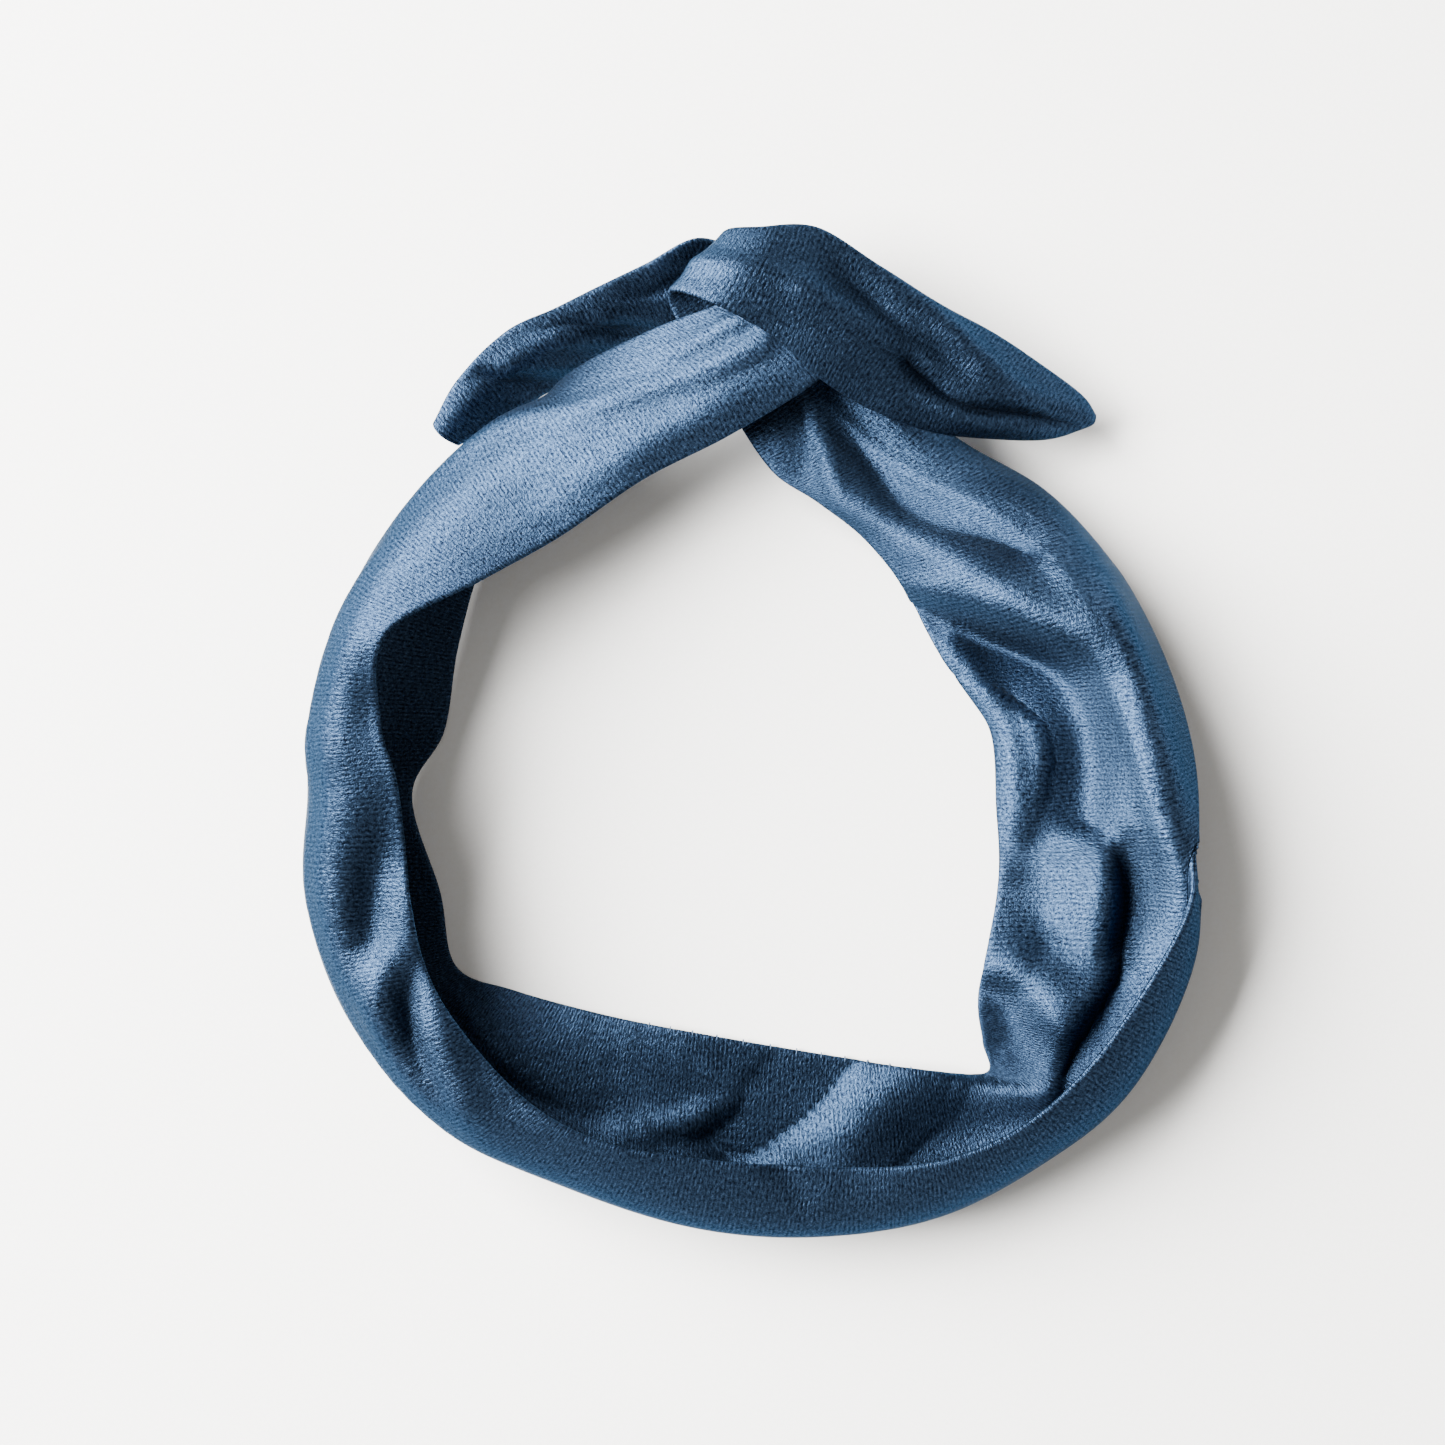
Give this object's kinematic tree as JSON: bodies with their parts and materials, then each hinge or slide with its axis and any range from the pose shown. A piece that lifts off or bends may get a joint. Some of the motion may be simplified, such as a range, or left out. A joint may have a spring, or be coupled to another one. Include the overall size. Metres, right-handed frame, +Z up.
{
  "type": "knotted headband",
  "caption": "Wired velvet headband bent into a head-sized ring, its two ends twisted once round each other into a knot with two pointed tails.",
  "frame": {"origin": "on the flat surface, under the middle of the whole piece", "axes": "+Z up from the surface, +Y from the ring's middle to the knot, +X to the right tail's side"},
  "size_m": [0.2196, 0.2456, 0.0409],
  "materials": {
    "velvet_outer": "dusty steel-blue stretch velvet, pile outside",
    "velvet_inner": "dusty steel-blue stretch velvet, pile outside",
    "thread": "spun polyester sewing thread",
    "steel": "annealed soft wire",
    "coating": "extruded plastic coating",
    "tape": "cloth tape"
  },
  "bodies": {
    "band": {"outer_panel": "velvet_outer", "inner_panel": "velvet_inner", "core_wire": "steel", "wire_coating": "coating", "low_seam_thread": "thread", "high_seam_thread": "thread", "closing_stitches": "thread"},
    "left_tail": {"left_tail_outer_panel": "velvet_outer", "left_tail_inner_panel": "velvet_inner", "left_tail_core_wire": "steel", "left_tail_wire_coating": "coating", "left_tail_seam_threads": "thread"},
    "left_tip": {"left_tip_outer_panel": "velvet_outer", "left_tip_inner_panel": "velvet_inner", "left_tip_core_wire": "steel", "left_tip_wire_coating": "coating", "left_tip_tape": "tape", "left_tip_seam_threads": "thread"},
    "right_tail": {"right_tail_outer_panel": "velvet_outer", "right_tail_inner_panel": "velvet_inner", "right_tail_core_wire": "steel", "right_tail_wire_coating": "coating", "right_tail_seam_threads": "thread"},
    "right_tip": {"right_tip_outer_panel": "velvet_outer", "right_tip_inner_panel": "velvet_inner", "right_tip_core_wire": "steel", "right_tip_wire_coating": "coating", "right_tip_tape": "tape", "right_tip_seam_threads": "thread"}
  },
  "joints": [
    {"name": "left_tail_lift", "type": "hinge", "parent": "band", "child": "left_tail", "pos_m": [-0.02372, 0.10561, 0.01095], "axis": [-0.523, 0.8523, 0], "range_deg": [0, 60]},
    {"name": "left_tip_curl", "type": "hinge", "parent": "left_tail", "child": "left_tip", "pos_m": [-0.04532, 0.09773, 0.01191], "axis": [-0.616, 0.7877, 0], "range_deg": [0, 60]},
    {"name": "right_tail_lift", "type": "hinge", "parent": "band", "child": "right_tail", "pos_m": [0.01271, 0.10553, 0.03074], "axis": [-0.3809, -0.9246, 0], "range_deg": [0, 75]},
    {"name": "right_tip_curl", "type": "hinge", "parent": "right_tail", "child": "right_tip", "pos_m": [0.05025, 0.08676, 0.022], "axis": [-0.2991, -0.9542, 0], "range_deg": [-10, 60]}
  ]
}
